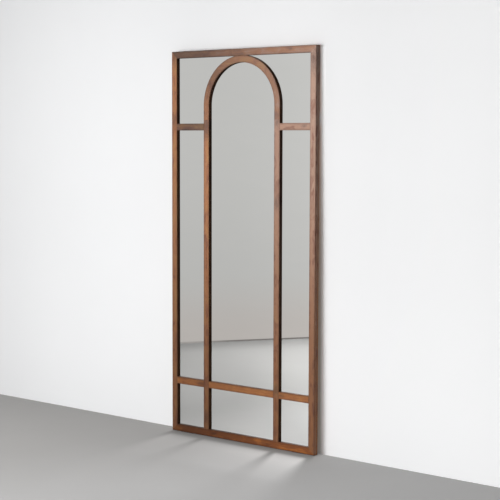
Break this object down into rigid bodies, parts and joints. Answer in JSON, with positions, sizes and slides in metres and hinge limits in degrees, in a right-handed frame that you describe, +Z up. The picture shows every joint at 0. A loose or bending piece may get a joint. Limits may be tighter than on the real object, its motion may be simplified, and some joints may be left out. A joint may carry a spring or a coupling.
{
  "type": "arched mirror",
  "caption": "Tall leaner mirror in a mitred wooden frame, with a flush arched grille of wooden bars over the glass, and swinging hanger rings on the back.",
  "frame": {"origin": "on the floor, under the middle of the part, with the mirror standing upright", "axes": "+Z up along the height, +X to the right seen from the front, +Y towards the wall behind"},
  "size_m": [0.85, 0.034, 1.802],
  "materials": {
    "frame_wood": "walnut stain, satin",
    "grille_wood": "walnut stain, satin",
    "mirror": "silvered glass",
    "backing_board": "raw hardboard",
    "bead_wood": "raw, planed",
    "joinery_wood": "raw beech",
    "zinc_steel": "zinc plated",
    "bright_steel": "bright wire",
    "rubber": "matt"
  },
  "bodies": {
    "mirror": {"left_stile": "frame_wood", "right_stile": "frame_wood", "top_rail": "frame_wood", "bottom_rail": "frame_wood", "arch_crown": "grille_wood", "left_haunch": "grille_wood", "right_haunch": "grille_wood", "left_upright": "grille_wood", "right_upright": "grille_wood", "upper_left_crossbar": "grille_wood", "upper_right_crossbar": "grille_wood", "lower_crossbar": "grille_wood", "mirror_glass": "mirror", "backing_board": "backing_board", "left_bead": "bead_wood", "right_bead": "bead_wood", "top_bead": "bead_wood", "bottom_bead": "bead_wood", "corner_biscuits": "joinery_wood", "arch_tongues": "joinery_wood", "left_hanger_plate": "zinc_steel", "right_hanger_plate": "zinc_steel", "hanger_screws": "zinc_steel", "bead_brads": "bright_steel", "setting_blocks": "rubber", "wall_bumpers": "rubber", "floor_pads": "rubber"},
    "left_ring": {"left_hanger_ring": "zinc_steel"},
    "right_ring": {"right_hanger_ring": "zinc_steel"}
  },
  "joints": [
    {"name": "left_ring_swing", "type": "hinge", "parent": "mirror", "child": "left_ring", "pos_m": [-0.414, 0.01375, 1.502], "axis": [1, 0, 0], "range_deg": [0, 180]},
    {"name": "right_ring_swing", "type": "hinge", "parent": "mirror", "child": "right_ring", "pos_m": [0.414, 0.01375, 1.502], "axis": [1, 0, 0], "range_deg": [0, 180]}
  ]
}
